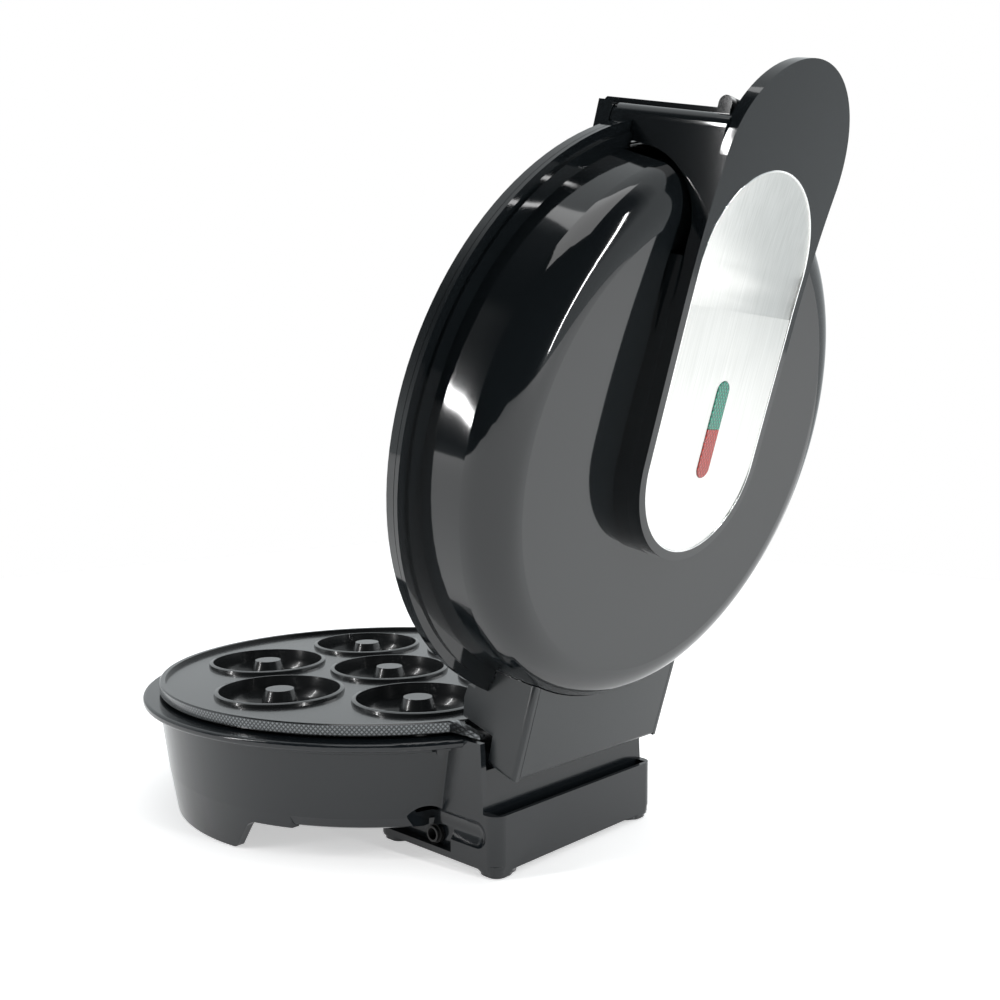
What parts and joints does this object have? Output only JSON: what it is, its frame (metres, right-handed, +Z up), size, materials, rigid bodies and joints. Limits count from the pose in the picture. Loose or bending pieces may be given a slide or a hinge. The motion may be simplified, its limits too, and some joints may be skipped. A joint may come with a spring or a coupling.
{
  "type": "donut maker",
  "caption": "Round electric donut maker standing open, with ring-shaped cooking cavities, a domed hinged lid, a broad handle and a folding latch.",
  "frame": {"origin": "on the floor, under the middle of the whole machine as it stands open", "axes": "+X across the machine along the hinge axis, +Y to the back where the lid is hinged, +Z up"},
  "size_m": [0.2158, 0.3168, 0.2765],
  "materials": {
    "housing_plastic": "satin black moulded plastic, thermoset look",
    "lid_plastic": "gloss black moulded plastic",
    "bracket_plastic": "satin black moulded plastic",
    "coated_aluminium": "die-cast aluminium with dark non-stick coating",
    "fascia_steel": "lengthwise brushed stainless steel",
    "screw_steel": "zinc-plated steel",
    "heater_steel": "heat-tinted steel sheath",
    "clamp_steel": "pressed steel",
    "reflector_aluminium": "polished aluminium sheet",
    "pin_steel": "ground steel",
    "green_lens": "translucent green moulded lens, drawn solid",
    "red_lens": "translucent red moulded lens, drawn solid",
    "lamp_glass": "clear glass neon envelope",
    "terminal_nylon": "natural nylon",
    "gland_rubber": "black rubber grommet",
    "fuse_case": "plated brass case",
    "thermostat_body": "aluminium cap"
  },
  "bodies": {
    "base": {"base_housing": "housing_plastic", "bottom_cover": "housing_plastic", "bottom_cover_screws": "screw_steel", "cord_gland": "gland_rubber", "foot_plate": "housing_plastic", "foot_plate_screws": "screw_steel", "lower_clamp_ring": "clamp_steel", "lower_clamp_screws": "screw_steel", "lower_heater": "heater_steel", "lower_plate": "coated_aluminium", "lower_plate_screws": "screw_steel", "lower_reflector": "reflector_aluminium", "terminal_block": "terminal_nylon", "thermal_fuse": "fuse_case"},
    "lid": {"fascia_plate": "fascia_steel", "handle": "lid_plastic", "handle_screws": "screw_steel", "hinge_bracket": "bracket_plastic", "hinge_bracket_screws": "screw_steel", "hinge_cover": "bracket_plastic", "hinge_cover_screws": "screw_steel", "hinge_pins": "pin_steel", "lamp_holder": "terminal_nylon", "latch_pin": "pin_steel", "lid_bezel": "lid_plastic", "lid_shell": "lid_plastic", "neon_lamps": "lamp_glass", "power_lens": "red_lens", "ready_lens": "green_lens", "thermostat": "thermostat_body", "upper_clamp_ring": "clamp_steel", "upper_clamp_screws": "screw_steel", "upper_heater": "heater_steel", "upper_plate": "coated_aluminium", "upper_plate_studs": "screw_steel", "upper_reflector": "reflector_aluminium"},
    "latch": {"latch_flap": "lid_plastic"}
  },
  "joints": [
    {"name": "lid_hinge", "type": "hinge", "parent": "base", "child": "lid", "pos_m": [0, 0.05245, 0.0617], "axis": [1, 0, 0], "range_deg": [0, 106.2]},
    {"name": "latch_hinge", "type": "hinge", "parent": "lid", "child": "latch", "pos_m": [0, 0.14007, 0.25935], "axis": [-1, 0, 0], "range_deg": [0, 75]}
  ]
}
